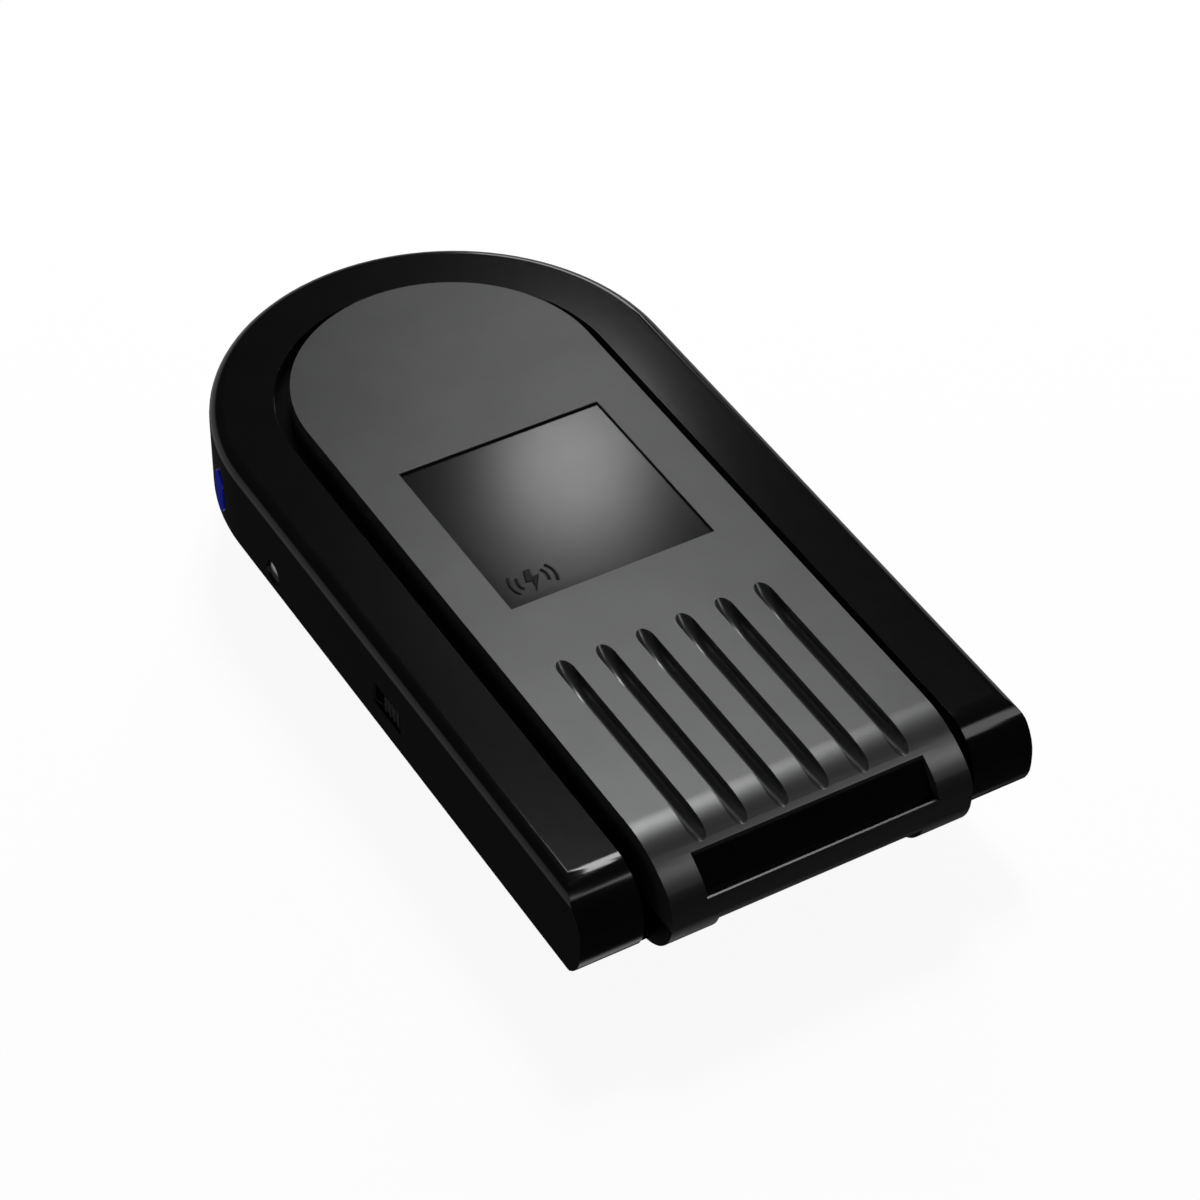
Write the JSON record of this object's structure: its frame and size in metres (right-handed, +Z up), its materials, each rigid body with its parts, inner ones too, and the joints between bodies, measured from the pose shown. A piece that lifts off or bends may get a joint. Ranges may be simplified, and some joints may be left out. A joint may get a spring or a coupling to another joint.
{
  "type": "wireless flash trigger",
  "caption": "Flat arch-ended infrared flash trigger with a raised ribbed centre cover, a front window and a camera shoe foot with a lock wheel.",
  "frame": {"origin": "under the centre of the case's bounding box, level with the tip of the shoe contact pin", "axes": "+Z up out of the raised centre cover, -Y out of the infrared window, +X to the right seen from behind the window end with the foot down"},
  "size_m": [0.0544, 0.106, 0.0215],
  "materials": {
    "gloss_black": "glossy moulded ABS",
    "case_black": "fine-grained moulded ABS",
    "satin_grey": "satin painted plastic",
    "label_gloss": "polished plastic",
    "ir_filter": "infrared-pass filter plastic, polished",
    "black_screw": "blackened steel",
    "steel": "zinc-plated steel",
    "foot_metal": "stamped and turned steel",
    "wheel_black": "moulded, scalloped rim",
    "inner_black": "moulded",
    "inner_white": "moulded",
    "inner_cream": "moulded nylon",
    "contact_brass": "gold-flashed",
    "cell_steel": "nickel-plated can",
    "board_green": "solder-mask coated glass-epoxy",
    "board_parts": "ceramic chip parts",
    "capacitor_sleeve": "shrink sleeve",
    "coil_copper": "enamelled copper on a ferrite drum",
    "emitter_smoke": "dark epoxy, polished",
    "ribbon_amber": "polyimide film",
    "led_white": "moulded",
    "lens_blue": "blue-tinted clear plastic",
    "button_metal": "polished dome",
    "slider_grey": "ribbed moulding",
    "lead_red": "insulated wire"
  },
  "bodies": {
    "case": {"upper_shell": "gloss_black", "base_shell": "case_black", "centre_cover": "satin_grey", "label_plate": "label_gloss", "ir_window": "ir_filter", "case_screws": "black_screw", "cover_screws": "steel", "foot_plate": "foot_metal", "foot_column": "foot_metal", "foot_screws": "steel", "pin_insulator": "inner_black", "pin_spring": "steel", "pin_terminal": "contact_brass", "coin_cell": "cell_steel", "cell_holder": "inner_cream", "cell_spring": "contact_brass", "cell_clip": "contact_brass", "main_board": "board_green", "board_screws": "steel", "controller_chip": "inner_black", "board_parts": "board_parts", "storage_capacitors": "capacitor_sleeve", "driver_coil": "coil_copper", "emitter_board": "board_green", "ir_emitters": "emitter_smoke", "emitter_holder": "inner_white", "emitter_ribbon": "ribbon_amber", "status_led": "led_white", "status_lens": "lens_blue", "test_switch": "inner_black", "slide_switch": "steel", "sync_socket": "inner_black", "socket_contacts": "contact_brass", "shoe_lead": "lead_red"},
    "clamp": {"clamp_washer": "foot_metal"},
    "wheel": {"lock_wheel": "wheel_black"},
    "pin": {"contact_pin": "contact_brass"},
    "door": {"battery_door": "case_black"},
    "button": {"test_button": "button_metal"},
    "slider": {"power_slider": "slider_grey", "switch_lever": "inner_white"}
  },
  "joints": [
    {"name": "clamp_drop", "type": "slide", "parent": "case", "child": "clamp", "axis": [0, 0, -1], "range_m": [0, 0.0007]},
    {"name": "wheel_turn", "type": "hinge", "parent": "clamp", "child": "wheel", "pos_m": [0, -0.0015, 0.0067], "axis": [0, 0, -1], "range_deg": [0, 360]},
    {"name": "pin_press", "type": "slide", "parent": "case", "child": "pin", "axis": [0, 0, 1], "range_m": [0, 0.0004], "stiffness_N_per_m": 400, "deforming": ["pin_spring"]},
    {"name": "door_turn", "type": "hinge", "parent": "case", "child": "door", "pos_m": [0, 0.02575, 0.009], "axis": [0, 0, -1], "range_deg": [0, 45]},
    {"name": "test_press", "type": "slide", "parent": "case", "child": "button", "axis": [1, 0, 0], "range_m": [0, 0.0004], "stiffness_N_per_m": 500},
    {"name": "power_slide", "type": "slide", "parent": "case", "child": "slider", "axis": [0, 1, 0], "range_m": [0, 0.002]}
  ],
  "couplings": [
    {"joint": "wheel_turn", "follows": "clamp_drop", "rad_per_m": 8975.9}
  ]
}
